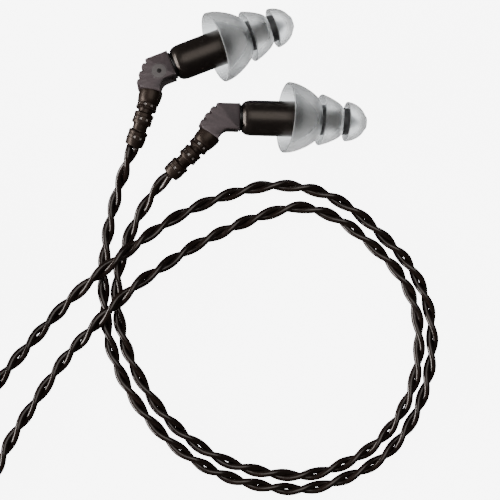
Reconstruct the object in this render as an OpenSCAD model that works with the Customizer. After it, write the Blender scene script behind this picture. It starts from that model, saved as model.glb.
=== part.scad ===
// In ear monitors: two sound capsules with triple-flange tips, each on a pull-off elbow plug, with
// twisted cords that run to a splitter, a main cord wound in a coil, and a 3.5 mm plug.
// Units are mm, +Z is up. The origin is under the middle of the two monitors, on the surface that
// they lie on. In a monitor's own frame +X runs along the capsule to the tip and x = 0 is the plane
// of the large flange's rim.

/* [Ear tip] */
// outer diameter of the large flange
flange_d = 12.4; // [11.8:0.1:13]
// outer diameter of the middle flange
mid_flange_d = 8.7; // [8:0.1:9.2]
// outer diameter of the small flange
small_flange_d = 6.4; // [6:0.1:7]
// thickness of a flange at its rim
rim_t = 0.5; // [0.4:0.05:0.7]

/* [Capsule] */
// outer diameter of the barrel
barrel_d = 6.2; // [6.1:0.1:6.5]
// outer diameter of the nozzle that holds the tip
nozzle_d = 2.9; // [2.8:0.05:3]
// length of the nozzle past its shoulder
nozzle_len = 4.8; // [4.4:0.1:5]
// outer diameter of the filter in the nozzle
filter_d = 1.9; // [1.8:0.02:1.94]
// diameter of the rear collar
collar_d = 4.8; // [4.6:0.1:5]

/* [Plug-in elbow] */
// height of the elbow's flat body
elbow_t = 4.8; // [4.4:0.1:5]
// width of the elbow's front arm
elbow_w = 4.5; // [4.3:0.1:4.7]
// angle from the capsule's axis back to the cord
elbow_bend = 57.5; // [55:0.5:60]
// diameter of a connector pin
pin_d = 0.76; // [0.7:0.02:0.8]
// distance between the two pins
pin_gap = 1.9; // [1.7:0.1:2]

/* [Cords] */
// outer diameter of the twisted pair that runs to each side
branch_d = 2.2; // [2:0.1:2.2]
// outer diameter of the main cord
main_d = 2.6; // [2.4:0.1:2.8]
// mean diameter of the main cord's coil
coil_d = 30; // [28:1:31]
// turns beside each other in the coil
coil_wide = 3; // [2:1:3]
// turns on top of each other in the coil
coil_high = 3; // [2:1:3]

/* [Splitter, slider and plug] */
// length of the splitter
splitter_len = 11; // [10:0.5:12]
// length of the slider
slider_len = 7; // [6:0.5:8]
// height of the splitter and the slider
block_h = 4; // [3.8:0.1:4.4]
// diameter of the plug's handle
handle_d = 7.2; // [6.8:0.1:7.6]
// length of the plug's handle
handle_len = 16; // [14:0.5:18]

/* [Hidden] */
$fn = 48;
eps = 0.02;

// Clearances between bodies that move apart.
pull_gap = 0.05;
face_gap = 0.05;
slide_gap = 0.35;

// Stations along a monitor's axis.
elbow_x = -8.5;
collar_x = elbow_x + face_gap;
barrel_x = -8;
chamfer_x = -7.5;
full_x = -6.6;
socket_x = -5;
driver_x = -4.6;
driver_len = 5.6;
spigot_x = 1.3;
nose_x = 2.2;
shoulder_x = 3.3;
stem_x = 3.5;
nozzle_x = shoulder_x + nozzle_len;
filter_len = 3;

barrel_r = barrel_d / 2;
collar_r = collar_d / 2;
bore_r = 2.7;
spigot_r = 2.2;
nozzle_r = nozzle_d / 2;
filter_r = filter_d / 2;
filter_bore_r = filter_r + pull_gap;
channel_r = 0.6;
driver_w = 4;
driver_h = 2.8;
contact_r = 0.75;
pin_r = pin_d / 2;
pin_tip_x = -5.4;
pin_root_x = -11;

// Ear tip radii and its bore.
flange_r = flange_d / 2;
mid_r = mid_flange_d / 2;
small_r = small_flange_d / 2;
stem_r = 2.65;
neck_r = 2.35;
inner_stem_r = 2.25;
tip_bore_r = nozzle_r + pull_gap;
tip_mouth_r = 0.9;
tip_step_x = 12.2;
tip_nose_x = 13.9;

// Elbow outline, in the monitor's frame.
arm_r = elbow_w / 2;
heel_x = -12.5;
cord_face = [-13.55, -3.1];
cord_face_in = 1.75;
cord_face_out = 2.05;
exit_turn = 180 + elbow_bend;
grip_at = [-12.62, 1.62];
grip_n = 3;
grip_pitch = 1.45;
grip_r = 0.78;
grip_sunk = 0.28;
waist_h = 2.6;
waist_in = 0.55;
waist_x = -11.1;
badge_r = 1.4;
badge_t = 0.3;
badge_at = [-11.05, -0.7];

// Strain relief: three rings joined by necks, each bent a little further down. A ring's profile is
// a list of [radius, x], and its neck runs on into the next ring.
boot_neck_len = 0.5;
boot_lens = [3.3, 2.5, 3];
boot_profiles = [
    [
        [0, -0.2], [1.3, -0.2], [2.05, 0.4], [2.03, 0.8], [1.8, 2.1], [1.72, 2.3], [1.8, 2.9], [1.8, 3.2],
        [1.7, 3.3], [1.26, 3.35], [1.26, 4.1], [0, 4.1]
    ],
    [
        [0, -0.1], [1.2, -0.1], [1.32, 0], [1.7, 0.2], [1.7, 0.7], [1.63, 0.9], [1.72, 1.5],
        [1.64, 2.1], [1.3, 2.15], [1.26, 3.3], [0, 3.3]
    ],
    [
        [0, -0.1], [1.2, -0.1], [1.3, 0.2], [1.68, 0.4], [1.68, 0.7], [1.6, 0.9], [1.68, 1.5],
        [1.64, 2.1], [1.52, 2.9], [1.4, 3], [0, 3]
    ]
];

// Where each monitor lies: [origin, yaw, pitch, roll], and how its strain relief bends:
// the turn at its root, the turn at each neck and the sag at each neck.
left = [[-5.5, 8.15, 6.2], 21.5, 3.5, -13, 5.5, 2.5, 9];
right = [[6.8, -3.95, 6.2], -1, 3.5, -4, 10.5, 1.3, 8];

function rot_x(a) = [[1, 0, 0], [0, cos(a), -sin(a)], [0, sin(a), cos(a)]];
function rot_y(a) = [[cos(a), 0, sin(a)], [0, 1, 0], [-sin(a), 0, cos(a)]];
function rot_z(a) = [[cos(a), -sin(a), 0], [sin(a), cos(a), 0], [0, 0, 1]];
function side_rot(m) = rot_z(m[1]) * rot_y(-m[2]) * rot_x(m[3]);

// Direction of ring k of a strain relief in the world, and where its neck ends.
function boot_rot(m, k) =
    k == 0
    ? side_rot(m) * rot_z(exit_turn - m[4])
    : boot_rot(m, k - 1) * rot_z(-m[5]) * rot_y(m[6]);
function boot_pos(m, k) =
    k == 0
    ? m[0] + side_rot(m) * [cord_face[0], cord_face[1], 0]
    : boot_pos(m, k - 1) + boot_rot(m, k - 1) * [boot_lens[k - 1] + boot_neck_len, 0, 0];
function boot_end(m) = boot_pos(m, 2) + boot_rot(m, 2) * [boot_lens[2], 0, 0];
function cord_out(m, d) = boot_end(m) + boot_rot(m, 2) * [d, 0, 0];

// The straight stretch where both cords run through the slider to the splitter.
lane_start = [-60.5, -67.2];
lane_turn = 154;
lane_len = 19;
lane_z = block_h / 2;
lane_gap = 2.5;
function lane(x, y) = [
    lane_start[0] + x * cos(lane_turn) - y * sin(lane_turn),
    lane_start[1] + x * sin(lane_turn) + y * cos(lane_turn),
    lane_z
];
split_x = lane_len;
splitter_w = 6.4;
slider_x = 9.5;
slider_w = 7.4;

branch_r = branch_d / 2;
floor_z = 1.15;
hump_z = 3.5;

left_route = concat(
    [cord_out(left, 0), cord_out(left, 2.5)],
    [
        [-22.2, -15.5, 2.6], [-23.8, -22, floor_z], [-24.8, -29, floor_z],
        [-24.8, -36, floor_z], [-23.8, -43, floor_z], [-20.9, -50.5, floor_z],
        [-16.5, -57, floor_z], [-11, -62.3, floor_z], [-4.5, -66.2, floor_z],
        [3, -68.5, floor_z], [11, -69.2, floor_z], [18.5, -67.3, floor_z],
        [25.2, -63.6, floor_z], [30.2, -57.5, floor_z], [33, -50.5, floor_z],
        [34, -43, floor_z], [33, -36, floor_z], [30, -29.8, floor_z],
        [25, -24.4, floor_z], [19, -19.3, floor_z], [12.5, -16.2, floor_z],
        [5, -15.4, floor_z], [-2, -16.8, floor_z], [-8.5, -19.2, floor_z],
        [-13.5, -21.8, 1.6], [-18, -24.8, 3], [-22, -27.8, hump_z],
        [-25.5, -30.6, hump_z], [-29.5, -34.2, 2.5], [-33.5, -38.4, 1.3],
        [-38.3, -43.8, floor_z], [-43, -49.6, floor_z], [-46.3, -55.5, floor_z],
        [-48.6, -61.2, floor_z], [-51.4, -65.2, 1.4], [-55.5, -67, 1.8]
    ],
    [lane(0, -lane_gap / 2), lane(lane_len, -lane_gap / 2)]
);

right_route = concat(
    [cord_out(right, 0), cord_out(right, 2)],
    [
        [-18.4, -20.2, 1.4], [-20.8, -25.2, floor_z], [-22.4, -31, floor_z],
        [-22.4, -37.5, floor_z], [-20.9, -44, floor_z], [-18, -50.3, floor_z],
        [-14, -56, floor_z], [-8.8, -60.8, floor_z], [-2.8, -64.3, floor_z],
        [4, -66.2, floor_z], [11, -66.8, floor_z], [17.6, -65, floor_z],
        [23.6, -61.5, floor_z], [28.2, -56, floor_z], [30.8, -49.8, floor_z],
        [31.6, -43, floor_z], [30.7, -36.6, floor_z], [27.9, -31, floor_z],
        [23, -26, floor_z], [16.6, -21.2, floor_z], [10, -19.2, floor_z],
        [3.5, -20.6, floor_z], [-4, -23.6, floor_z], [-9.5, -26.4, 1.4],
        [-14.5, -29.6, 2.4], [-19, -32.6, hump_z], [-24.6, -37.8, hump_z],
        [-27.5, -41, 2.5], [-31.5, -45.6, 1.3], [-36.4, -52.6, floor_z],
        [-41, -59.8, floor_z], [-43.8, -65.4, floor_z], [-47.3, -70, floor_z],
        [-52, -71.9, 1.4], [-57, -70.4, 1.8]
    ],
    [lane(0, lane_gap / 2), lane(lane_len, lane_gap / 2)]
);

main_r = main_d / 2;
coil_r = coil_d / 2;
coil_at = [-76, -32];
coil_w = coil_wide * main_d;
coil_h = coil_high * main_d;
coil_corner = 1.2;
lead_route = [
    lane(split_x + splitter_len, 0), lane(split_x + splitter_len + 2.5, 0),
    [-92.2, -50.6, 1.5], [-93.5, -47, main_r], [-93.6, -42.5, main_r], [-93.6, -38, main_r]
];
plug_turn = 32;
plug_at = [-87.7, -9.3, handle_d / 2];
relief_len = 6;
tail_route = [
    [-93.6, -26, 3.9], [-93.6, -21, 3.9], [-93.5, -17.2, 3.8], [-92.2, -13.2, 3.7],
    plug_at - 2.2 * [cos(plug_turn), sin(plug_turn), 0], plug_at
];

// A 3.5 mm plug's contacts, from the handle's face.
plug_r = 1.75;
sleeve_len = 7;
band_len = 0.7;
ring_len = 2.3;
contact_len = 14;
core_r = 0.7;

// Turns a half profile of [radius, x] points about the X axis.
module turned(points) {
    rotate([0, 90, 0])
        rotate([0, 0, 90])
            rotate_extrude()
                polygon(points);
}

module rod(r, x0, x1) {
    translate([x0, 0, 0])
        rotate([0, 90, 0])
            cylinder(r = r, h = x1 - x0);
}

// Puts a part from a monitor's own frame where that monitor lies.
module placed(m) {
    translate(m[0])
        rotate([0, 0, m[1]])
            rotate([0, -m[2], 0])
                rotate([m[3], 0, 0])
                    children();
}

function unit(v) = v / norm(v);
function along(p, i) =
    let(last = len(p) - 1)
    i == 0 ? unit(p[1] - p[0])
    : i == last ? unit(p[last] - p[last - 1])
    : unit(unit(p[i + 1] - p[i]) + unit(p[i] - p[i - 1]));

// A tube through every point of a route, with one ring of eight corners at each.
module tube(p, r) {
    sides = 8;
    n = len(p);
    ring_points = [
        for (i = [0 : n - 1])
            let(t = along(p, i), s = unit(cross(t, [0, 0, 1])), u = cross(s, t))
                for (k = [0 : sides - 1])
                    p[i] + r * (cos(360 * k / sides) * s + sin(360 * k / sides) * u)
    ];
    walls = [
        for (i = [0 : n - 2], k = [0 : sides - 1])
            let(a = i * sides, b = (k + 1) % sides)
                [a + k, a + b, a + sides + b, a + sides + k]
    ];
    ends = [
        [for (k = [sides - 1 : -1 : 0]) k],
        [for (k = [0 : sides - 1]) (n - 1) * sides + k]
    ];
    polyhedron(ring_points, concat(walls, ends), convexity = 10);
}

// ---- one monitor, in its own frame ----

module eartip_shape() {
    color([0.72, 0.73, 0.75, 0.8])
        turned([
            [flange_r - rim_t, 0], [flange_r - 0.12, 0], [flange_r, 0.25], [flange_r - 0.4, 1.7],
            [flange_r - 1.1, 3.2], [flange_r - 2.2, 4.75], [flange_r - 2.9, 5.5],
            [stem_r, 5.85], [stem_r, 7.2],
            [mid_r - rim_t, 6.2], [mid_r - 0.1, 6.15], [mid_r, 6.35], [mid_r - 0.55, 7.8],
            [mid_r - 1.3, 9.4], [stem_r, 10.05], [neck_r, 10.1], [neck_r, 11.4],
            [small_r - rim_t + 0.1, 10.6], [small_r - 0.1, 10.55], [small_r, 10.75],
            [small_r - 0.3, 11.85], [small_r - 1.1, 13.05], [small_r - 1.9, 13.55],
            [small_r - 2.2, tip_nose_x], [tip_mouth_r, tip_nose_x],
            [tip_mouth_r, tip_step_x], [tip_bore_r, tip_step_x], [tip_bore_r, stem_x],
            [inner_stem_r, stem_x], [inner_stem_r, 4.9], [flange_r - 2.6, 4.4],
            [flange_r - 1.6, 3.1], [flange_r - 0.95, 1.6]
        ]);
}

module nose_shape() {
    color([0.1, 0.09, 0.09])
        turned([
            [channel_r, spigot_x], [bore_r, spigot_x], [bore_r, nose_x], [barrel_r, nose_x],
            [barrel_r, nose_x + 0.3], [nozzle_r + 0.6, shoulder_x], [nozzle_r, shoulder_x],
            [nozzle_r, nozzle_x - 0.2], [nozzle_r - 0.15, nozzle_x], [filter_bore_r, nozzle_x],
            [filter_bore_r, nozzle_x - filter_len - face_gap],
            [channel_r, nozzle_x - filter_len - face_gap]
        ]);
}

module filter_shape() {
    mesh_t = 0.4;
    hole_r = 0.55;
    color([0.2, 0.42, 0.3])
        translate([nozzle_x - filter_len, 0, 0])
            turned([
                [0, 0.6], [hole_r, 0.6], [hole_r, 0], [filter_r, 0], [filter_r, filter_len],
                [hole_r, filter_len], [hole_r, filter_len - mesh_t], [0, filter_len - mesh_t]
            ]);
}

module barrel_shape() {
    color([0.09, 0.08, 0.07])
        turned([
            [spigot_r, barrel_x], [collar_r + 0.1, barrel_x], [barrel_r - 0.22, chamfer_x],
            [barrel_r, full_x], [barrel_r, nose_x],
            [bore_r, nose_x], [bore_r, socket_x], [spigot_r, socket_x]
        ]);
}

module driver_shape() {
    spout_r = 0.55;
    lid = 0.15;
    color([0.75, 0.75, 0.72])
        union() {
            translate([driver_x, -driver_w / 2, -driver_h / 2])
                cube([driver_len - 0.4, driver_w, driver_h]);
            translate([driver_x - lid, -driver_w / 4, -driver_h / 3])
                cube([lid + eps, driver_w / 2, driver_h / 2]);
            rod(spout_r, driver_x + driver_len - 0.4 - eps, spigot_x - 0.1);
        }
}

module driver_boot_shape() {
    sleeve_r = bore_r - 0.05;
    spout_r = 0.55;
    back_x = driver_x + 0.2;
    front_x = spigot_x - 0.1;
    color([0.35, 0.33, 0.33])
        difference() {
            rod(sleeve_r, back_x, front_x);
            translate([back_x - 1, -driver_w / 2, -driver_h / 2])
                cube([driver_x + driver_len - 0.4 - back_x + 1, driver_w, driver_h]);
            rod(spout_r, back_x, front_x + 1);
        }
}

module rear_cap_shape() {
    groove = 0.25;
    color([0.16, 0.14, 0.14])
        difference() {
            turned([
                [0, collar_x], [collar_r - 0.05, collar_x], [collar_r, collar_x + 0.05],
                [collar_r, collar_x + 0.15], [collar_r - groove, collar_x + 0.2],
                [collar_r - groove, barrel_x], [spigot_r, barrel_x], [spigot_r, socket_x],
                [0, socket_x]
            ]);
            for (side = [-1, 1])
                translate([0, side * pin_gap / 2, 0])
                    rod(contact_r, collar_x - 1, socket_x + 1);
        }
}

module contacts_shape() {
    color([0.83, 0.68, 0.35])
        for (side = [-1, 1])
            translate([0, side * pin_gap / 2, 0])
                difference() {
                    rod(contact_r, collar_x, socket_x + 0.2);
                    rod(pin_r + pull_gap, collar_x - 1, pin_tip_x + 0.15);
                }
}

module pins_shape() {
    color([0.86, 0.72, 0.4])
        for (side = [-1, 1])
            translate([0, side * pin_gap / 2, 0]) {
                rod(pin_r, pin_root_x, pin_tip_x - 0.2);
                translate([pin_tip_x - 0.2 - eps, 0, 0])
                    rotate([0, 90, 0])
                        cylinder(r1 = pin_r, r2 = pin_r * 0.6, h = 0.2);
            }
}

// Flat outline of the elbow, from the front arm round to the face that the cord leaves.
module elbow_outline() {
    out = [cos(exit_turn), sin(exit_turn)];
    across = [-out[1], out[0]];
    inner = cord_face + across * cord_face_in;
    outer = cord_face - across * cord_face_out;
    way = unit(outer - grip_at);
    inward = [-way[1], way[0]];
    polygon([
        [elbow_x, arm_r], [heel_x, arm_r], grip_at, outer, inner, [-11.4, -arm_r - 0.25],
        [-10.9, -arm_r], [elbow_x, -arm_r]
    ]);
    for (k = [1 : grip_n])
        translate(grip_at + way * grip_pitch * (k - 0.5) + inward * grip_sunk)
            circle(r = grip_r);
}

// The inlay's pocket is in the upper face where up is 1 and in the lower face where it is -1.
module elbow_shape(up) {
    color([0.34, 0.3, 0.3])
        difference() {
            translate([0, 0, -elbow_t / 2])
                linear_extrude(height = elbow_t)
                    elbow_outline();
            translate([waist_x, waist_in - arm_r - elbow_t, -waist_h / 2])
                cube([elbow_x + 1 - waist_x, elbow_t, waist_h]);
            for (side = [-1, 1])
                translate([0, side * pin_gap / 2, 0])
                    rod(pin_r, pin_root_x, elbow_x + 1);
            translate([badge_at[0], badge_at[1], up * elbow_t / 2])
                cylinder(r = badge_r, h = 2 * badge_t, center = true);
        }
}

// The inlay in one face of an elbow, with the side mark: a plain raised dot.
module badge_shape() {
    mark_r = 0.35;
    mark_t = 0.1;
    color([0.42, 0.38, 0.38])
        translate([badge_at[0], badge_at[1], elbow_t / 2 - badge_t])
            cylinder(r = badge_r, h = badge_t);
    color([0.2, 0.18, 0.18])
        translate([badge_at[0], badge_at[1], elbow_t / 2 - eps])
            cylinder(r = mark_r, h = mark_t);
}

module boot_ring(k) {
    color([0.15, 0.13, 0.12])
        turned(boot_profiles[k]);
}

// The rings sit in the elbow's frame, each turned from the one before by the side bend and the sag.
module boot_shape(m) {
    translate([cord_face[0], cord_face[1], 0])
        rotate([0, 0, exit_turn - m[4]]) {
            boot_ring(0);
            translate([boot_lens[0] + boot_neck_len, 0, 0])
                rotate([0, 0, -m[5]])
                    rotate([0, m[6], 0]) {
                        boot_ring(1);
                        translate([boot_lens[1] + boot_neck_len, 0, 0])
                            rotate([0, 0, -m[5]])
                                rotate([0, m[6], 0])
                                    boot_ring(2);
                    }
        }
}

// ---- left monitor ----
module left_eartip() { placed(left) eartip_shape(); }
module left_nose() { placed(left) nose_shape(); }
module left_filter() { placed(left) filter_shape(); }
module left_barrel() { placed(left) barrel_shape(); }
module left_driver() { placed(left) driver_shape(); }
module left_driver_boot() { placed(left) driver_boot_shape(); }
module left_rear_cap() { placed(left) rear_cap_shape(); }
module left_contacts() { placed(left) contacts_shape(); }
module left_elbow() { placed(left) elbow_shape(1); }
module left_pins() { placed(left) pins_shape(); }
module left_badge() { placed(left) badge_shape(); }
module left_boot() { placed(left) boot_shape(left); }

// ---- right monitor ----
module right_eartip() { placed(right) eartip_shape(); }
module right_nose() { placed(right) nose_shape(); }
module right_filter() { placed(right) filter_shape(); }
module right_barrel() { placed(right) barrel_shape(); }
module right_driver() { placed(right) driver_shape(); }
module right_driver_boot() { placed(right) driver_boot_shape(); }
module right_rear_cap() { placed(right) rear_cap_shape(); }
module right_contacts() { placed(right) contacts_shape(); }
module right_elbow() { placed(right) elbow_shape(-1); }
module right_pins() { placed(right) pins_shape(); }
module right_badge() { placed(right) rotate([180, 0, 0]) mirror([0, 1, 0]) badge_shape(); }
module right_boot() { placed(right) boot_shape(right); }

// ---- cords ----
module left_cord() { color([0.13, 0.1, 0.09]) tube(left_route, branch_r); }
module right_cord() { color([0.13, 0.1, 0.09]) tube(right_route, branch_r); }
module main_lead() { color([0.13, 0.1, 0.09]) tube(lead_route, main_r); }
module main_tail() { color([0.13, 0.1, 0.09]) tube(tail_route, main_r); }

module main_coil() {
    c = coil_corner;
    w = coil_w / 2;
    color([0.13, 0.1, 0.09])
        translate([coil_at[0], coil_at[1], 0])
            rotate_extrude()
                translate([coil_r, 0])
                    polygon([
                        [-w + c, 0], [w - c, 0], [w, c], [w, coil_h - c], [w - c, coil_h],
                        [-w + c, coil_h], [-w, coil_h - c], [-w, c]
                    ]);
}

module coil_tie() {
    tie_w = 5;
    tie_t = 0.35;
    side_gap = 0.35;
    top_gap = 0.1;
    w = coil_w / 2 + side_gap;
    h = coil_h + top_gap;
    color([0.2, 0.2, 0.2])
        translate([coil_at[0] + coil_r, coil_at[1], 0])
            rotate([90, 0, 0])
                difference() {
                    translate([-w - tie_t, 0, -tie_w / 2])
                        cube([2 * (w + tie_t), h + tie_t, tie_w]);
                    translate([-w, -1, -tie_w / 2 - 1])
                        cube([2 * w, h + 1, tie_w + 2]);
                }
}

// A block of stadium section along +X, centred on its axis.
module stadium_block(width, height, length) {
    r = height / 2;
    for (side = [-1, 1])
        translate([0, side * (width / 2 - r), 0])
            rod(r, 0, length);
    translate([0, -(width / 2 - r), -r])
        cube([length, width - height, height]);
}

module in_lane(x) {
    translate(lane(x, 0))
        rotate([0, 0, lane_turn])
            children();
}

module y_splitter() {
    color([0.14, 0.13, 0.13])
        in_lane(split_x)
            stadium_block(splitter_w, block_h, splitter_len);
}

module cord_slider() {
    color([0.14, 0.13, 0.13])
        in_lane(slider_x - slider_len / 2)
            difference() {
                stadium_block(slider_w, block_h, slider_len);
                for (side = [-1, 1])
                    translate([0, side * lane_gap / 2, 0])
                        rod(branch_r + slide_gap, -1, slider_len + 1);
            }
}

module at_plug() {
    translate(plug_at)
        rotate([0, 0, plug_turn])
            children();
}

module plug_relief() {
    color([0.14, 0.13, 0.13])
        at_plug()
            rotate([0, 90, 0])
                cylinder(r1 = main_r + 0.5, r2 = handle_d / 2 - 1, h = relief_len);
}

module plug_handle() {
    r = handle_d / 2;
    x = relief_len;
    color([0.12, 0.12, 0.12])
        at_plug()
            turned([
                [0, x], [r - 0.6, x], [r, x + 0.6], [r, x + handle_len - 0.5],
                [r - 0.5, x + handle_len], [0, x + handle_len]
            ]);
}

contact_x = relief_len + handle_len;
ring_x = contact_x + sleeve_len + band_len;
tip_x = ring_x + ring_len + band_len;

module plug_sleeve() {
    color([0.85, 0.7, 0.4])
        at_plug()
            difference() {
                rod(plug_r, contact_x, contact_x + sleeve_len);
                rod(core_r, contact_x - 1, contact_x + sleeve_len + 1);
            }
}

module plug_ring() {
    color([0.85, 0.7, 0.4])
        at_plug()
            difference() {
                rod(plug_r, ring_x, ring_x + ring_len);
                rod(core_r, ring_x - 1, ring_x + ring_len + 1);
            }
}

module plug_tip() {
    end = contact_x + contact_len;
    color([0.85, 0.7, 0.4])
        at_plug()
            turned([
                [0, contact_x], [core_r, contact_x], [core_r, tip_x], [plug_r, tip_x],
                [plug_r, tip_x + 0.4], [plug_r - 0.65, tip_x + 1.2], [plug_r, tip_x + 2],
                [0.4, end - 0.1], [0, end]
            ]);
}

module plug_insulators() {
    color([0.08, 0.08, 0.08])
        at_plug()
            for (x = [contact_x + sleeve_len, ring_x + ring_len])
                difference() {
                    rod(plug_r - 0.03, x, x + band_len);
                    rod(core_r, x - 1, x + band_len + 1);
                }
}

left_eartip();
left_nose();
left_filter();
left_barrel();
left_driver();
left_driver_boot();
left_rear_cap();
left_contacts();
left_elbow();
left_pins();
left_badge();
left_boot();
left_cord();
right_eartip();
right_nose();
right_filter();
right_barrel();
right_driver();
right_driver_boot();
right_rear_cap();
right_contacts();
right_elbow();
right_pins();
right_badge();
right_boot();
right_cord();
cord_slider();
y_splitter();
main_lead();
main_coil();
main_tail();
coil_tie();
plug_relief();
plug_handle();
plug_sleeve();
plug_ring();
plug_tip();
plug_insulators();
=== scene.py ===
import math

import bpy
import numpy as np
from mathutils import Matrix, Vector
from mathutils.geometry import tessellate_polygon


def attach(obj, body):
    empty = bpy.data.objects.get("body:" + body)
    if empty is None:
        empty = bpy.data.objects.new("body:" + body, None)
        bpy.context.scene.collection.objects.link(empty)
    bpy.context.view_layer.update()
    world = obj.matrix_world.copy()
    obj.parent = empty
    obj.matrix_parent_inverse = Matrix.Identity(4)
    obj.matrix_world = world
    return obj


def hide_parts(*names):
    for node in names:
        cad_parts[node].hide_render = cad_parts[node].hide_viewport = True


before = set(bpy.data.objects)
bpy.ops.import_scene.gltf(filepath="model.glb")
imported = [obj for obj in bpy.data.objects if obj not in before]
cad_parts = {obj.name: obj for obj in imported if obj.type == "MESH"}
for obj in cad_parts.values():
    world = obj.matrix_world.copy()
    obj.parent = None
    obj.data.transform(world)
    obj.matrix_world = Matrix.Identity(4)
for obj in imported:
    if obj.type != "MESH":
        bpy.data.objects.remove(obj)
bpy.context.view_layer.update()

# Twisted-cord in ear monitors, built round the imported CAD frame. Sizes are in mm and every mesh is
# scaled by MM as it is made.
MM = 0.001
SEED = 7

# ---- where things are, as in the CAD source ----
# root, bend and sag are the strain relief's angles: off the elbow's face, and sideways and down at
# each of its rings.
LEFT = dict(
    side="left", at=(-5.5, 8.15, 6.2), yaw=21.5, pitch=3.5, roll=-13, root=5.5, bend=2.5, sag=9,
)
RIGHT = dict(
    side="right", at=(6.8, -3.95, 6.2), yaw=-1, pitch=3.5, roll=-4, root=10.5, bend=1.3, sag=8,
)
# The elbow's face that the cord leaves, and the way that it looks.
CORD_FACE = (-13.55, -3.1, 0)
EXIT_TURN = 180 + 57.5
BOOT_LENS = (3.3, 2.5, 3.0)
BOOT_NECK = 0.5
# The straight stretch of both cords, through the slider to the splitter.
LANE_START = (-60.5, -67.2)
LANE_TURN = 154
LANE_LEN = 19
LANE_GAP = 2.5
LANE_Z = 2
SPLITTER_LEN = 11
# The height of a cord's middle on the floor, and where it passes over another.
FLOOR_Z = 1.15
HUMP_Z = 3.5
COIL_AT = (-76, -32)
COIL_R = 15
MAIN_D = 2.6
PLUG_AT = (-87.7, -9.3, 3.6)
PLUG_TURN = 32


def turn(axis, degrees):
    return Matrix.Rotation(math.radians(degrees), 4, axis)


def placed(m):
    """The matrix that puts a monitor's own frame where the monitor lies."""
    lying = Matrix.Translation(m["at"]) @ turn("Z", m["yaw"])
    return lying @ turn("Y", -m["pitch"]) @ turn("X", m["roll"])


def boot_frame(m, k):
    """The frame of ring k of a strain relief, with +X towards the cord."""
    if k == 0:
        return placed(m) @ Matrix.Translation(CORD_FACE) @ turn("Z", EXIT_TURN - m["root"])
    step = Matrix.Translation((BOOT_LENS[k - 1] + BOOT_NECK, 0, 0))
    return boot_frame(m, k - 1) @ step @ turn("Z", -m["bend"]) @ turn("Y", m["sag"])


def cord_out(m, d):
    """The point d past the strain relief's end, straight on."""
    return tuple(boot_frame(m, 2) @ Vector((BOOT_LENS[2] + d, 0, 0)))


def lane(x, y):
    """A point of the straight stretch that runs through the slider to the splitter."""
    c, s = math.cos(math.radians(LANE_TURN)), math.sin(math.radians(LANE_TURN))
    return (LANE_START[0] + x * c - y * s, LANE_START[1] + x * s + y * c, LANE_Z)


LEFT_ROUTE = [
    cord_out(LEFT, 0), cord_out(LEFT, 2.5),
    (-22.2, -15.5, 2.6), (-23.8, -22, FLOOR_Z), (-24.8, -29, FLOOR_Z),
    (-24.8, -36, FLOOR_Z), (-23.8, -43, FLOOR_Z), (-20.9, -50.5, FLOOR_Z),
    (-16.5, -57, FLOOR_Z), (-11, -62.3, FLOOR_Z), (-4.5, -66.2, FLOOR_Z),
    (3, -68.5, FLOOR_Z), (11, -69.2, FLOOR_Z), (18.5, -67.3, FLOOR_Z),
    (25.2, -63.6, FLOOR_Z), (30.2, -57.5, FLOOR_Z), (33, -50.5, FLOOR_Z),
    (34, -43, FLOOR_Z), (33, -36, FLOOR_Z), (30, -29.8, FLOOR_Z),
    (25, -24.4, FLOOR_Z), (19, -19.3, FLOOR_Z), (12.5, -16.2, FLOOR_Z),
    (5, -15.4, FLOOR_Z), (-2, -16.8, FLOOR_Z), (-8.5, -19.2, FLOOR_Z),
    (-13.5, -21.8, 1.6), (-18, -24.8, 3), (-22, -27.8, HUMP_Z),
    (-25.5, -30.6, HUMP_Z), (-29.5, -34.2, 2.5), (-33.5, -38.4, 1.3),
    (-38.3, -43.8, FLOOR_Z), (-43, -49.6, FLOOR_Z), (-46.3, -55.5, FLOOR_Z),
    (-48.6, -61.2, FLOOR_Z), (-51.4, -65.2, 1.4), (-55.5, -67, 1.8),
    lane(0, -LANE_GAP / 2), lane(LANE_LEN, -LANE_GAP / 2),
]
RIGHT_ROUTE = [
    cord_out(RIGHT, 0), cord_out(RIGHT, 2),
    (-18.4, -20.2, 1.4), (-20.8, -25.2, FLOOR_Z), (-22.4, -31, FLOOR_Z),
    (-22.4, -37.5, FLOOR_Z), (-20.9, -44, FLOOR_Z), (-18, -50.3, FLOOR_Z),
    (-14, -56, FLOOR_Z), (-8.8, -60.8, FLOOR_Z), (-2.8, -64.3, FLOOR_Z),
    (4, -66.2, FLOOR_Z), (11, -66.8, FLOOR_Z), (17.6, -65, FLOOR_Z),
    (23.6, -61.5, FLOOR_Z), (28.2, -56, FLOOR_Z), (30.8, -49.8, FLOOR_Z),
    (31.6, -43, FLOOR_Z), (30.7, -36.6, FLOOR_Z), (27.9, -31, FLOOR_Z),
    (23, -26, FLOOR_Z), (16.6, -21.2, FLOOR_Z), (10, -19.2, FLOOR_Z),
    (3.5, -20.6, FLOOR_Z), (-4, -23.6, FLOOR_Z), (-9.5, -26.4, 1.4),
    (-14.5, -29.6, 2.4), (-19, -32.6, HUMP_Z), (-24.6, -37.8, HUMP_Z),
    (-27.5, -41, 2.5), (-31.5, -45.6, 1.3), (-36.4, -52.6, FLOOR_Z),
    (-41, -59.8, FLOOR_Z), (-43.8, -65.4, FLOOR_Z), (-47.3, -70, FLOOR_Z),
    (-52, -71.9, 1.4), (-57, -70.4, 1.8),
    lane(0, LANE_GAP / 2), lane(LANE_LEN, LANE_GAP / 2),
]


# ---- camera ----
CAMERA_FAR = 300
CAMERA_TILT = 8.5
CAMERA_LENS = 123.4
SENSOR_WIDTH = 36
CAMERA_AT = Vector((0.5, -26.8, 4))


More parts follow.
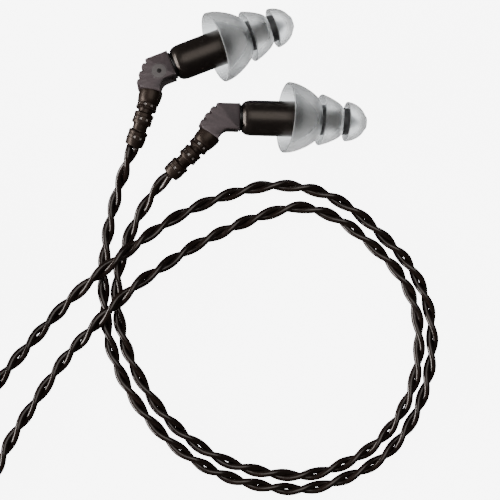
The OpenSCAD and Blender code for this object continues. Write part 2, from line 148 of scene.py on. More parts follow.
def make_camera():
    """Looks almost straight down, leaning back towards the capsules' rear ends."""
    t = math.radians(CAMERA_TILT)
    back = Vector((-math.sin(t), 0, math.cos(t)))
    right = Vector((0, 1, 0)).cross(back).normalized()
    up = back.cross(right)
    m = Matrix((right, up, back)).transposed().to_4x4()
    m.translation = (CAMERA_AT + back * CAMERA_FAR) * MM
    cam = bpy.data.objects.new("camera", bpy.data.cameras.new("camera"))
    bpy.context.scene.collection.objects.link(cam)
    cam.matrix_world = m
    cam.data.sensor_width = SENSOR_WIDTH
    cam.data.lens = CAMERA_LENS
    cam.data.clip_start = 0.01
    cam.data.clip_end = 10
    bpy.context.scene.camera = cam


make_camera()


# ---- mesh helpers ----
# Points of a smooth curve between two of its route's points, before it is cut into even steps.
CURVE_FINENESS = 24


def mesh_object(name, points, faces, material, slots=None, smooth=True, sharp=None):
    """A mesh of points in mm. slots gives each face's material when there are several."""
    mesh = bpy.data.meshes.new(name)
    mesh.from_pydata([tuple(MM * c for c in p) for p in points], [], faces)
    for m in material if isinstance(material, (list, tuple)) else [material]:
        mesh.materials.append(m)
    if slots is not None:
        mesh.polygons.foreach_set("material_index", slots)
    mesh.polygons.foreach_set("use_smooth", [smooth] * len(mesh.polygons))
    mesh.validate()
    mesh.update()
    if sharp:
        mesh.set_sharp_from_angle(angle=math.radians(sharp))
    made = bpy.data.objects.new(name, mesh)
    bpy.context.scene.collection.objects.link(made)
    return made


def smooth_path(points, step):
    """A smooth curve through points, cut into even steps."""
    p = np.array(points, float)
    p = np.vstack([2 * p[0] - p[1], p, 2 * p[-1] - p[-2]])
    fine = []
    for i in range(1, len(p) - 2):
        a, b, c, d = p[i - 1 : i + 3]
        ta = 0.0
        tb = np.linalg.norm(b - a) ** 0.5
        tc = tb + np.linalg.norm(c - b) ** 0.5
        td = tc + np.linalg.norm(d - c) ** 0.5
        for t in np.linspace(tb, tc, CURVE_FINENESS, endpoint=False):
            ab = ((tb - t) * a + (t - ta) * b) / (tb - ta)
            bc = ((tc - t) * b + (t - tb) * c) / (tc - tb)
            cd = ((td - t) * c + (t - tc) * d) / (td - tc)
            abc = ((tc - t) * ab + (t - ta) * bc) / (tc - ta)
            bcd = ((td - t) * bc + (t - tb) * cd) / (td - tb)
            fine.append(((tc - t) * abc + (t - tb) * bcd) / (tc - tb))
    fine.append(p[-2])
    return even_steps(np.array(fine), step)


def even_steps(fine, step):
    """The line through the fine points, cut into even steps."""
    walk = np.concatenate([[0], np.cumsum(np.linalg.norm(np.diff(fine, axis=0), axis=1))])
    n = max(2, int(round(walk[-1] / step)) + 1)
    at = np.linspace(0, walk[-1], n)
    return np.stack([np.interp(at, walk, fine[:, k]) for k in range(3)], axis=1)


def frames_along(path):
    """Two sides across the path at each point, carried along without twist."""
    t = np.gradient(path, axis=0)
    t /= np.linalg.norm(t, axis=1)[:, None]
    side = np.cross(t[0], [0, 0, 1])
    side /= np.linalg.norm(side)
    sides = [side]
    for k in range(1, len(t)):
        side = sides[-1] - t[k] * (sides[-1] @ t[k])
        sides.append(side / np.linalg.norm(side))
    sides = np.array(sides)
    return sides, np.cross(t, sides)


def bands(rows, n, first=0, flip=False):
    """Faces between closed rows of n points each, one row after another."""
    faces = []
    for i in range(rows - 1):
        row, above = first + i * n, first + (i + 1) * n
        for k in range(n):
            j = (k + 1) % n
            quad = (row + k, row + j, above + j, above + k)
            faces.append(quad[::-1] if flip else quad)
    return faces


def tube_mesh(line, radius, corners, first):
    """Points and faces of a round tube along line, its ends closed."""
    a, b = frames_along(line)
    n = len(line)
    angle = np.linspace(0, 2 * math.pi, corners, endpoint=False)
    ring = a[:, None] * np.cos(angle)[None, :, None] + b[:, None] * np.sin(angle)[None, :, None]
    points = (line[:, None] + ring * radius).reshape(-1, 3)
    faces = bands(n, corners, first)
    faces.append(tuple(first + k for k in range(corners - 1, -1, -1)))
    faces.append(tuple(first + (n - 1) * corners + k for k in range(corners)))
    return points, faces


# How a rope's twist wanders: how often in mm, by how many radians, and how much looser or tighter.
WANDER_EVERY = 9
WANDER_TURN = 0.22
WANDER_SLACK = 0.04


def rope(name, path, strands, strand_r, lay_r, pitch, corners, material, seed, start=0.0):
    """Strands wound left-handed round a path, each a round tube."""
    rng = np.random.default_rng(seed)
    a, b = frames_along(path)
    walk = np.concatenate([[0], np.cumsum(np.linalg.norm(np.diff(path, axis=0), axis=1))])
    knots = np.arange(0, walk[-1] + 20, WANDER_EVERY)
    drift = np.interp(walk, knots, rng.normal(0, WANDER_TURN, len(knots)))
    loose = rng.uniform(1 - WANDER_SLACK, 1 + WANDER_SLACK, len(knots))
    slack = np.interp(walk, knots, loose)
    angle = start - 2 * math.pi * walk / pitch + drift
    points, faces = [], []
    for k in range(strands):
        at = angle + 2 * math.pi * k / strands
        out = a * np.cos(at)[:, None] + b * np.sin(at)[:, None]
        line = path + out * (lay_r * slack)[:, None]
        made, quads = tube_mesh(line, strand_r, corners, sum(len(p) for p in points))
        points.append(made)
        faces += quads
    return mesh_object(name, np.vstack(points), faces, material)


# ---- materials ----
class Looks:
    """Builds one procedural material. Coordinates are the object's own, in metres."""

    def __init__(self, name):
        self.mat = bpy.data.materials.new(name)
        self.mat.use_nodes = True
        self.tree = self.mat.node_tree
        self.shader = self.tree.nodes["Principled BSDF"]
        self.place = self.add("ShaderNodeTexCoord").outputs["Object"]

    def add(self, kind, **inputs):
        """A new node. Its inputs are named with _ for each space."""
        node = self.tree.nodes.new(kind)
        for key, value in inputs.items():
            self.put(node.inputs[key.replace("_", " ")], value)
        return node

    def put(self, socket, value):
        """Links value to a socket, or sets it there when it is a constant."""
        if isinstance(value, bpy.types.NodeSocket):
            self.tree.links.new(value, socket)
        else:
            socket.default_value = value

    def set(self, **values):
        for key, value in values.items():
            self.put(self.shader.inputs[key.replace("_", " ")], value)
        return self

    def noise(self, grain_mm, detail=4, rough=0.55, stretch=(1, 1, 1)):
        """Noise with features about grain_mm across."""
        size = self.add("ShaderNodeMapping", Vector=self.place)
        size.inputs["Scale"].default_value = [s / (grain_mm * MM) for s in stretch]
        tex = self.add(
            "ShaderNodeTexNoise", Vector=size.outputs[0], Scale=1, Detail=detail, Roughness=rough,
        )
        return tex.outputs[0]

    def ramp(self, value, low, high, a=0.35, b=0.65):
        """Maps value from a..b to low..high."""
        node = self.add("ShaderNodeMapRange", Value=value)
        node.inputs["From Min"].default_value, node.inputs["From Max"].default_value = a, b
        node.inputs["To Min"].default_value, node.inputs["To Max"].default_value = low, high
        return node.outputs[0]

    def tint(self, value, dark, light, a=0.35, b=0.65):
        """Maps value from a..b to the colours dark..light."""
        mix = self.add("ShaderNodeMix")
        mix.data_type = "RGBA"
        self.put(mix.inputs[0], self.ramp(value, 0, 1, a, b))
        self.put(mix.inputs[6], (*dark, 1))
        self.put(mix.inputs[7], (*light, 1))
        return mix.outputs[2]

    def bump(self, value, depth_mm, strength=1):
        """Raises the surface by value, up to depth_mm."""
        node = self.add("ShaderNodeBump", Height=value, Strength=strength, Distance=depth_mm * MM)
        self.set(Normal=node.outputs[0])
        return self


def plastic(name, dark, light, rough, grain=0.12, depth=0.01, shine=0.5, warm=0.0):
    """Moulded plastic or rubber. shine is its specular level and warm tints its highlights."""
    look = Looks(name)
    fine, broad = look.noise(grain), look.noise(grain * 14, 2)
    look.set(Base_Color=look.tint(broad, dark, light))
    look.set(Roughness=look.ramp(look.noise(grain * 4), rough - 0.03, rough + 0.04))
    look.set(Specular_IOR_Level=shine, Specular_Tint=(1, 1 - 0.6 * warm, 1 - warm, 1))
    return look.bump(fine, depth).mat


def metal(name, dark, light, rough, brushed=(1, 1, 1)):
    """Bare or plated metal. brushed stretches its fine lines."""
    look = Looks(name)
    lines = look.noise(0.25, 6, 0.7, brushed)
    look.set(Base_Color=look.tint(look.noise(1.5), dark, light), Metallic=1.0)
    look.set(Roughness=look.ramp(lines, rough - 0.06, rough + 0.08))
    return look.bump(lines, 0.003).mat


def silicone():
    """Frosted silicone: light goes through it blurred, and its skin is powdery."""
    look = Looks("silicone")
    cloud, powder = look.noise(2.2, 3), look.noise(0.06, 3)
    look.set(Base_Color=look.tint(cloud, (0.235, 0.245, 0.25), (0.29, 0.30, 0.305)))
    look.set(Roughness=look.ramp(look.noise(0.5), 0.52, 0.6), IOR=1.41)
    look.set(Transmission_Weight=0.95, Specular_IOR_Level=0.3)
    return look.bump(powder, 0.005, 0.6).mat


M_TIP = silicone()
M_CORE = plastic("stem_core", (0.020, 0.020, 0.021), (0.030, 0.030, 0.031), 0.5, 0.1, 0.006)
M_BARREL = plastic(
    "barrel_gloss", (0.0055, 0.004, 0.0035), (0.008, 0.006, 0.005), 0.34, 0.1, 0.0006, 0.45, 0.25,
)
M_COLLAR = plastic(
    "collar_satin", (0.005, 0.004, 0.004), (0.008, 0.007, 0.006), 0.36, 0.12, 0.002, 0.4,
)
M_NOSE = plastic(
    "nose_satin", (0.006, 0.005, 0.005), (0.010, 0.009, 0.008), 0.42, 0.12, 0.004, 0.4,
)
M_ELBOW = plastic(
    "elbow_matte", (0.050, 0.036, 0.038), (0.061, 0.045, 0.047), 0.56, 0.07, 0.004, 0.4,
)
M_BADGE = plastic(
    "badge_matte", (0.072, 0.062, 0.060), (0.086, 0.075, 0.072), 0.5, 0.07, 0.004, 0.5,
)
M_MARK = plastic(
    "mark_dark", (0.010, 0.008, 0.008), (0.016, 0.013, 0.013), 0.6, 0.08, 0.004, 0.2,
)
M_BOOT = plastic(
    "boot_rubber", (0.009, 0.0055, 0.0042), (0.014, 0.009, 0.007), 0.4, 0.07, 0.002, 0.32, 0.35,
)
# Painted light: the windows' bottoms get a pale base colour that stands for light seen through the
# slots and for glints on them, while the boot's rubber is dark.
M_WINDOW_PAINTED_LIGHT = plastic(
    "window_painted_light", (0.30, 0.26, 0.24), (0.44, 0.39, 0.36), 0.28, 0.09, 0.004, 0.8,
)
M_CORD = plastic(
    "cord_jacket", (0.008, 0.0045, 0.0035), (0.014, 0.008, 0.006), 0.22, 0.3, 0.001, 0.5, 0.12,
)
M_BLOCK = plastic("block_satin", (0.012, 0.010, 0.009), (0.020, 0.017, 0.015), 0.48, 0.1, 0.008)
M_HANDLE = plastic("handle_satin", (0.012, 0.011, 0.010), (0.018, 0.016, 0.015), 0.38, 0.1, 0.006)
M_INSULATOR = plastic("insulator", (0.008, 0.008, 0.008), (0.014, 0.014, 0.014), 0.4, 0.1, 0.003)
M_CRADLE = plastic("cradle_rubber", (0.12, 0.115, 0.11), (0.17, 0.16, 0.155), 0.66, 0.1, 0.012)
M_GOLD = metal("gold_plate", (0.78, 0.52, 0.20), (0.90, 0.64, 0.30), 0.2)
M_STEEL = metal("drawn_steel", (0.50, 0.50, 0.49), (0.62, 0.62, 0.60), 0.32, (1, 8, 8))
M_MESH = metal("filter_mesh", (0.10, 0.16, 0.12), (0.22, 0.30, 0.24), 0.4)
M_TIE = plastic("tie_fabric", (0.014, 0.014, 0.015), (0.036, 0.036, 0.038), 0.9, 0.25, 0.08)


# ---- cords ----
STRAND_R = 0.57
PAIR_PITCH = 10.5
PAIR_STEP = 0.45
MAIN_STRAND_R = 0.54
MAIN_LAY_R = 0.76
MAIN_PITCH = 14
MAIN_STEP = 0.7


def branch(m, route, seed, start):
    """One side's twisted pair, from its strain relief to the splitter."""
    path = smooth_path(route, PAIR_STEP)
    pair = rope(
        m["side"] + "_pair", path, 2, STRAND_R, STRAND_R, PAIR_PITCH, 14, M_CORD, seed, start,
    )
    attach(pair, "leads")
    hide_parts(m["side"] + "_cord")
    return pair, path


# Cells of the coil that the turns fill in order: (place across, place up).
COIL_CELLS = ((2, 0), (1, 0), (0, 0), (0, 1), (1, 1), (1, 2), (2, 2), (2, 1))
# A turn eases into the next one's cell over its last COIL_EASE degrees.
COIL_EASE = 80
COIL_STEPS = 12


def coil_path():
    """Clockwise turns from the coil's left side."""
    points = []
    for k, cell in enumerate(COIL_CELLS):
        after = COIL_CELLS[min(k + 1, len(COIL_CELLS) - 1)]
        for j in range(COIL_STEPS):
            swept = 360 * j / COIL_STEPS
            x = max(0.0, (swept - 360 + COIL_EASE) / COIL_EASE)
            x = x * x * (3 - 2 * x)
            across, up = (c + (d - c) * x for c, d in zip(cell, after))
            phi = math.radians(180 - swept)
            r = COIL_R + (across - 1) * MAIN_D
            points.append((
                COIL_AT[0] + r * math.cos(phi), COIL_AT[1] + r * math.sin(phi), MAIN_D * (up + 0.5),
            ))
    return points


def main_path():
    """The main cord: from the splitter along the floor, round the coil and into the plug."""
    low = MAIN_D / 2
    left_x = COIL_AT[0] - COIL_R - MAIN_D
    straight, at_relief = 2.5, 2.2
    turned = math.radians(PLUG_TURN)
    run_x, run_y = math.cos(turned), math.sin(turned)
    lead = [
        lane(LANE_LEN + SPLITTER_LEN, 0), lane(LANE_LEN + SPLITTER_LEN + straight, 0),
        (-92.2, -50.6, 1.5), (-93.5, -47, low), (left_x, -42.5, low), (left_x, -38, low),
    ]
    tail = [
        (left_x, -26, 3.9), (left_x, -21, 3.9), (-93.5, -17.2, 3.8), (-92.2, -13.2, 3.7),
        (PLUG_AT[0] - at_relief * run_x, PLUG_AT[1] - at_relief * run_y, PLUG_AT[2]), PLUG_AT,
    ]
    return even_steps(smooth_path(lead + coil_path() + tail, 0.5), MAIN_STEP)


left_pair, left_path = branch(LEFT, LEFT_ROUTE, SEED, 0.4)
right_pair, right_path = branch(RIGHT, RIGHT_ROUTE, SEED + 1, 1.7)
main_line = main_path()
main_rope = rope(
    "main_rope", main_line, 4, MAIN_STRAND_R, MAIN_LAY_R, MAIN_PITCH, 8, M_CORD, SEED + 2,
)
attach(main_rope, "leads")
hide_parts("main_lead", "main_coil", "main_tail")


# ---- lathe and loft pieces, drawn in a frame of their own ----
def set_in(matrix, points):
    """Points of a piece's own frame, put where the piece lies."""
    return [tuple(matrix @ Vector(p)) for p in points]


def even_turn(n):
    """n angles, evenly round a turn."""
    return [2 * math.pi * k / n for k in range(n)]


def lathe(name, matrix, profile, material, sides=96, closed=False, warp=None):
    """Turns (x, radius) points about the frame's X axis. A radius of 0 is a single point."""
    points, rings, faces = [], [], []
    for x, r in profile:
        if r <= 0:
            rings.append([len(points)])
            points.append((x, 0, 0))
        else:
            rings.append(list(range(len(points), len(points) + sides)))
            points += [(x, r * math.cos(a), r * math.sin(a)) for a in even_turn(sides)]
    pairs = list(zip(rings, rings[1:])) + ([(rings[-1], rings[0])] if closed else [])
    for a, b in pairs:
        for k in range(sides):
            j = (k + 1) % sides
            if len(a) == 1:
                faces.append((a[0], b[j], b[k]))
            elif len(b) == 1:
                faces.append((a[k], a[j], b[0]))
            else:
                faces.append((a[k], a[j], b[j], b[k]))
    if warp:
        points = [warp(*p) for p in points]
    return mesh_object(name, set_in(matrix, points), [f[::-1] for f in faces], material)


def rounded(profile, radius, steps=4):
    """Rounds the inner corners of an open profile of (x, r) points."""
    p = [Vector(q) for q in profile]
    out = [tuple(p[0])]
    for a, b, c in zip(p, p[1:], p[2:]):
        u, v = a - b, c - b
        cut = min(radius, 0.45 * u.length, 0.45 * v.length)
        if cut < 1e-4:
            out.append(tuple(b))
            continue
        start, end = b + u.normalized() * cut, b + v.normalized() * cut
        for k in range(steps + 1):
            t = k / steps
            out.append(tuple((1 - t) ** 2 * start + 2 * t * (1 - t) * b + t * t * end))
    out.append(tuple(p[-1]))
    return out


def smooth_closed(points, step):
    """A closed smooth outline through points, evenly stepped."""
    p = list(points)
    ring = smooth_path([(*q, 0) for q in p[-3:] + p + p[:3]], step / 4)[:, :2]
    half = len(ring) // 2
    first = np.argmin(np.linalg.norm(ring[:half] - np.array(p[0]), axis=1))
    last = half + np.argmin(np.linalg.norm(ring[half:] - np.array(p[0]), axis=1))
    loop = even_steps(np.column_stack([ring[first : last + 1], np.zeros(last + 1 - first)]), step)
    return [tuple(q[:2]) for q in loop[:-1]]


# ---- ear tip ----
# The tip is turned this many degrees off the barrel's axis, about a point this far along it.
TIP_AXIS_OFF = -2.6
TIP_PIVOT = 5.5
TIP_STEP = 0.11
# How far the flanges lean towards the nose per mm of height, by the place along the tip.
LEAN_AT = (0, 5.2, 6.2, 14)
LEAN = (0.16, 0.16, 0.10, 0.09)
# The lean fades out between these radii, so that the bore stays straight.
LEAN_FADE = (2.1, 3.2)


def lean(x, y, z):
    """Leans a point of the flanges towards the nose."""
    share = float(np.interp(math.hypot(y, z), LEAN_FADE, (0, 1)))
    return (x + float(np.interp(x, LEAN_AT, LEAN)) * share * z, y, z)


def tip_frame(m):
    """The tip's frame: level from side to side, and a little off the barrel's axis."""
    lying = Matrix.Translation(m["at"]) @ turn("Z", m["yaw"]) @ turn("Y", -m["pitch"])
    pivot = Matrix.Translation((TIP_PIVOT, 0, 0))
    return lying @ pivot @ turn("Z", TIP_AXIS_OFF) @ pivot.inverted()


def eartip(m):
    """The three thin flanges with the stem and the sound bore, and the stem's dark core."""
    outer = [
        (-0.4, 6.0), (-0.3, 6.17), (-0.05, 6.18), (0.8, 6.06), (1.6, 5.82), (2.45, 5.46),
        (3.2, 5.08), (4.0, 4.58), (4.7, 4.02), (5.2, 3.45), (5.5, 2.85), (5.7, 2.52), (6.05, 2.44),
        (6.5, 2.42), (6.92, 2.5), (6.78, 2.95), (6.15, 3.66), (5.72, 4.12), (5.58, 4.3),
        (5.7, 4.45), (5.95, 4.43), (6.55, 4.22), (7.2, 3.97), (8.1, 3.53), (8.95, 3.02),
        (9.45, 2.58), (9.75, 2.2), (10.15, 2.06), (10.7, 2.06), (10.86, 2.4), (10.5, 2.98),
        (10.24, 3.28), (10.24, 3.42), (10.45, 3.46), (10.95, 3.37), (11.5, 3.2), (12.0, 2.96),
        (12.55, 2.6), (13.0, 2.18), (13.34, 1.72), (13.6, 1.3), (13.8, 1.05), (13.86, 0.92),
        (13.83, 0.82),
    ]
    inner = [
        (13.4, 0.80), (12.3, 0.80), (12.15, 1.1), (12.1, 1.45), (11.6, 1.50), (8.0, 1.50),
        (4.2, 1.50), (3.62, 1.52), (3.5, 1.66), (3.5, 2.02), (3.62, 2.2), (4.2, 2.24), (4.75, 2.36),
        (4.98, 2.72), (4.86, 3.1), (4.45, 3.62), (3.8, 4.20), (3.1, 4.66), (2.3, 5.08), (1.6, 5.38),
        (0.8, 5.64), (-0.05, 5.83), (-0.34, 5.88),
    ]
    core = [
        (3.7, 1.62), (3.7, 2.0), (4.3, 2.08), (5.0, 2.3), (5.55, 2.64), (6.8, 2.62), (8.3, 2.5),
        (9.3, 2.42), (9.8, 2.34), (10.7, 2.3), (10.8, 2.1), (10.8, 1.62),
    ]
    matrix = tip_frame(m)
    outline = smooth_closed(outer + inner, TIP_STEP)
    flanges = lathe(m["side"] + "_flanges", matrix, outline, M_TIP, 128, True, lean)
    outline = rounded(core + core[:1], 0.05, 2)[:-1]
    sleeve = lathe(m["side"] + "_stem_core", matrix, outline, M_CORE, 96, True)
    for piece in (flanges, sleeve):
        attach(piece, m["side"] + "_tip")
        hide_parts(m["side"] + "_eartip")


def circle(x, y, r, n):
    """A circle across the X axis, its middle at (x, y)."""
    return [Vector((x, y + r * math.cos(a), r * math.sin(a))) for a in even_turn(n)]


def capped(loops, first, facing):
    """Triangles that close flat loops, the first outer and the rest holes."""
    points = [p for loop in loops for p in loop]
    faces = []
    for tri in tessellate_polygon(loops):
        a, b, c = (points[k] for k in tri)
        tri = tri if (b - a).cross(c - a).dot(facing) > 0 else tri[::-1]
        faces.append(tuple(first + k for k in tri))
    return faces


# ---- capsule ----
def barrel(m):
    """The glossy shell, rounded off at its rear end."""
    profile = rounded([
        (-5.0, 2.22), (-7.98, 2.22), (-8.0, 2.46), (-7.95, 2.52), (-7.5, 2.88), (-7.1, 3.0),
        (-6.6, 3.08), (-6.2, 3.1), (1.95, 3.1), (2.2, 3.05), (2.2, 2.72),
    ], 0.12, 4)
    made = lathe(m["side"] + "_shell", placed(m), profile, M_BARREL)
    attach(made, m["side"] + "_capsule")
    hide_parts(m["side"] + "_barrel")


def nose(m):
    """Cap and nozzle, with two shallow barbs that hold the tip."""
    profile = rounded([
        (1.3, 0.6), (1.3, 2.68), (2.18, 2.68), (2.22, 3.02), (2.45, 3.08), (2.75, 2.86),
        (3.25, 2.1), (3.32, 1.42), (4.4, 1.36), (4.5, 1.45), (4.8, 1.45), (5.0, 1.36), (6.2, 1.36),
        (6.3, 1.45), (6.6, 1.45), (6.8, 1.36), (7.7, 1.38), (8.0, 1.3), (8.1, 1.2), (8.1, 1.03),
        (7.9, 1.0), (5.1, 1.0), (5.05, 0.6),
    ], 0.12, 3)
    made = lathe(m["side"] + "_nozzle", placed(m), profile, M_NOSE)
    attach(made, m["side"] + "_capsule")
    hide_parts(m["side"] + "_nose")


SOCKET_X = -8.44
SOCKET_R = 1.95
SOCKET_SIDES = 96
HOLE_R = 0.75
HOLE_DEEP = 2.5
HOLE_SIDES = 24
PIN_GAP = 1.9


def collar(m):
    """The rear collar with its groove, closed by the socket's face round the two contacts."""
    profile = rounded([
        (-7.9, 2.1), (-7.98, 2.2), (-8.2, 2.2), (-8.23, 2.38), (-8.41, 2.4), (SOCKET_X, 2.36),
        (SOCKET_X, SOCKET_R),
    ], 0.05, 3)
    loops = [circle(SOCKET_X, 0, SOCKET_R, SOCKET_SIDES)]
    loops += [circle(SOCKET_X, side * PIN_GAP / 2, HOLE_R, HOLE_SIDES) for side in (-1, 1)]
    points = [p for loop in loops for p in loop]
    faces = capped(loops, 0, Vector((-1, 0, 0)))
    for hole in range(2):
        first = SOCKET_SIDES + HOLE_SIDES * hole
        wall = len(points)
        points += [p + Vector((HOLE_DEEP, 0, 0)) for p in points[first : first + HOLE_SIDES]]
        for k in range(HOLE_SIDES):
            j = (k + 1) % HOLE_SIDES
            faces.append((first + k, first + j, wall + j, wall + k))
    matrix = placed(m)
    face = mesh_object(
        m["side"] + "_socket", set_in(matrix, points), faces, M_COLLAR, smooth=False,
    )
    made = lathe(m["side"] + "_collar", matrix, profile, M_COLLAR)
    for piece in (made, face):
        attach(piece, m["side"] + "_capsule")
        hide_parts(m["side"] + "_rear_cap")


# ---- elbow ----
ELBOW_HALF = 2.4
ARM_R = 2.25
# How far the cord's face reaches to the bend's inner and outer side, and its corners' size.
FACE_IN = 1.75
FACE_OUT = 2.05
FACE_CORNER = 0.3
WAIST_IN = 0.9
# The finger grip's three bumps stand between these notches.
GRIP_NOTCHES = ((-12.62, 1.62), (-13.6, 0.5), (-14.55, -0.63), (-15.24, -1.88))
GRIP_HIGH = 0.46
GRIP_DEEP = 0.26
GRIP_FLAT = 0.62
GRIP_SLOT = 0.3
GRIP_STEPS = 14


def curve3(a, b, c, n):
    """Points between a and c on the bend that b pulls out."""
    a, b, c = Vector(a), Vector(b), Vector(c)
    shares = [k / (n + 1) for k in range(1, n + 1)]
    return [(1 - t) ** 2 * a + 2 * t * (1 - t) * b + t * t * c for t in shares]


def elbow_outline():
    """Anticlockwise outline of the elbow's flat side, each point with its share of the waist."""
    out = Vector((math.cos(math.radians(EXIT_TURN)), math.sin(math.radians(EXIT_TURN))))
    across = Vector((-out.y, out.x))
    face = Vector(CORD_FACE[:2])
    inner, outer = face + across * FACE_IN, face - across * FACE_OUT
    points = [(Vector((x, ARM_R)), 0) for x in (-8.5, -9.4, -10.4, -11.4, -12.0, -12.3)]
    points += [(Vector((-12.48, ARM_R - 0.06)), 0), (Vector((-12.58, ARM_R - 0.2)), 0)]
    for start, end in zip(GRIP_NOTCHES, GRIP_NOTCHES[1:]):
        start, end = Vector(start), Vector(end)
        way = (end - start).normalized()
        normal = Vector((way.y, -way.x))
        half = (end - start).length / 2
        for j in range(GRIP_STEPS + 1):
            a = math.pi * (0.01 + 0.98 * j / GRIP_STEPS)
            share = math.copysign(abs(math.cos(a)) ** GRIP_FLAT, math.cos(a))
            along = -share * (half - GRIP_SLOT / 2)
            high = (GRIP_HIGH + GRIP_DEEP) * math.sin(a) ** GRIP_FLAT - GRIP_DEEP
            points.append((start + way * (half + along) + normal * high, 0))
    points += [(outer + across * FACE_CORNER, 0), (face, 0), (inner - across * FACE_CORNER, 0)]
    points.append((inner - across * 0.05, 0.2))
    for k, p in enumerate(curve3(inner, (-11.5, -2.2), (-10.2, -ARM_R), 11)):
        points.append((p, min(1, 0.35 + 0.2 * k)))
    rest = ((-9.9, 1), (-9.4, 1), (-9.05, 0.6), (-8.85, 0.2), (-8.5, 0))
    return points + [(Vector((x, -ARM_R)), share) for x, share in rest]


def elbow(m):
    """Stacked outlines: rounded rims, and a waist sunk into the side inside the bend."""
    outline = elbow_outline()
    flat = [p for p, _ in outline]
    n = len(flat)
    normals = []
    for k in range(n):
        run = flat[(k + 1) % n] - flat[k - 1]
        normals.append(Vector((run.y, -run.x)).normalized())
    half = [
        (0, 0, 1), (1.15, 0, 1), (1.3, 0, 0.93), (1.42, 0, 0.7), (1.47, 0, 0.2), (1.55, 0, 0),
        (2.1, 0, 0), (2.25, 0.02, 0), (2.34, 0.07, 0), (ELBOW_HALF, 0.17, 0),
    ]
    rims = [(-z, inset, waist) for z, inset, waist in half[:0:-1]] + half
    points = []
    for z, inset, waist in rims:
        for (_, share), p, normal in zip(outline, flat, normals):
            q = p - normal * (inset + WAIST_IN * waist * share)
            points.append((q.x, q.y, z))
    faces = bands(len(rims), n)
    faces += capped([[Vector(p) for p in points[:n]]], 0, Vector((0, 0, -1)))
    faces += capped([[Vector(p) for p in points[-n:]]], len(points) - n, Vector((0, 0, 1)))
    made = mesh_object(
        m["side"] + "_elbow_body", set_in(placed(m), points), faces, M_ELBOW, sharp=40,
    )
    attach(made, "leads")
    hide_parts(m["side"] + "_elbow")


BADGE_AT = (-11.05, -0.7)


def badge(m):
    """An inlaid disc with a plain raised dot: on top at the left, underneath at the right."""
    up = 1 if m["side"] == "left" else -1
    spot = placed(m) @ Matrix.Translation((*BADGE_AT, up * ELBOW_HALF)) @ turn("Y", -90 * up)
    disc = [
        (-0.2, 1.45), (0.01, 1.43), (0.01, 1.37), (-0.04, 1.34), (-0.04, 1.28), (0.01, 1.24),
        (0.015, 0.0),
    ]
    dot = [(-0.02, 0.4), (0.03, 0.39), (0.08, 0.33), (0.1, 0.2), (0.1, 0.0)]
    for part in (
        lathe(m["side"] + "_inlay", spot, rounded(disc, 0.03, 3), M_BADGE, 64),
        lathe(m["side"] + "_mark", spot, rounded(dot, 0.03, 3), M_MARK, 40),
    ):
        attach(part, "leads")
        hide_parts(m["side"] + "_badge")


# ---- strain relief ----
# Each ring: its (x, radius) profile and the stretch that its windows take.
BOOT_RINGS = (
    ([(-0.45, 1.2), (-0.45, 1.9), (0.08, 2.05), (0.6, 2.03), (1.4, 1.95), (2.1, 1.82), (2.18, 1.72),
      (2.28, 1.7), (2.34, 1.75), (2.86, 1.75), (2.92, 1.8), (3.2, 1.8), (3.3, 1.7), (3.33, 1.34),
      (3.6, 1.26), (4.2, 1.26)],
     (2.38, 2.82)),
    ([(-0.1, 1.2), (0.02, 1.32), (0.12, 1.6), (0.2, 1.7), (0.7, 1.7), (0.78, 1.61), (0.88, 1.6),
      (0.95, 1.65), (1.5, 1.65), (1.56, 1.72), (1.98, 1.7), (2.1, 1.62), (2.15, 1.34), (2.4, 1.27),
      (3.1, 1.27), (3.3, 1.2)],
     (0.99, 1.45)),
    ([(-0.1, 1.2), (0.2, 1.3), (0.32, 1.58), (0.42, 1.68), (0.84, 1.68), (0.92, 1.59), (1.02, 1.58),
      (1.1, 1.63), (1.64, 1.63), (1.7, 1.68), (2.1, 1.64), (2.85, 1.55), (2.95, 1.5), (3.0, 1.4),
      (3.0, 0.0)],
     (1.14, 1.6)),
)
WINDOWS = 8
# Angles in degrees from a window's middle to its rim and to the plain wall next to it.
WINDOW_HALF = 9.5
WALL_FROM = 16
WINDOW_EDGE = 1.0
WINDOW_DEPTH = 0.2
WINDOW_PHASE = 8
# The band that the windows stand in: its slope's width, and how far its radius is read past it.
BAND_EDGE = 0.03
BAND_REACH = 0.1


def boot_ring(k):
    """A turned ring whose windows are sunk into a band near its collar."""
    profile, (near, far) = BOOT_RINGS[k]
    r = min(r for x, r in profile if near - BAND_REACH < x < far + BAND_REACH)
    rows = [(x, q, False) for x, q in profile if x <= near]
    rows += [(near, r, False), (near + BAND_EDGE, r, True), ((near + far) / 2, r, True)]
    rows += [(far - BAND_EDGE, r, True), (far, r, False)]
    rows += [(x, q, False) for x, q in profile if x > far]
    inner = WINDOW_HALF - WINDOW_EDGE
    window = (
        (-180 / WINDOWS, False), (-WALL_FROM, False), (-WINDOW_HALF, False), (-inner, True),
        (-inner / 2, True), (0, True), (inner / 2, True), (inner, True), (WINDOW_HALF, False),
        (WALL_FROM, False),
    )
    columns = []
    for w in range(WINDOWS):
        middle = 360 * w / WINDOWS + WINDOW_PHASE
        columns += [(math.radians(middle + offset), sunk) for offset, sunk in window]
    n = len(columns)
    points, faces, marks = [], [], []
    for x, r, low in rows:
        for a, sunk in columns:
            q = r - WINDOW_DEPTH if low and sunk else r
            points.append((x, -q * math.sin(a), q * math.cos(a)))
    for i in range(len(rows) - 1):
        for j in range(n):
            h = (j + 1) % n
            faces.append((i * n + h, (i + 1) * n + h, (i + 1) * n + j, i * n + j))
            # Window bottoms take the second material, whose pale colour is painted light.
            bottom = rows[i][2] and rows[i + 1][2] and columns[j][1] and columns[h][1]
            marks.append(1 if bottom else 0)
    return points, faces, marks


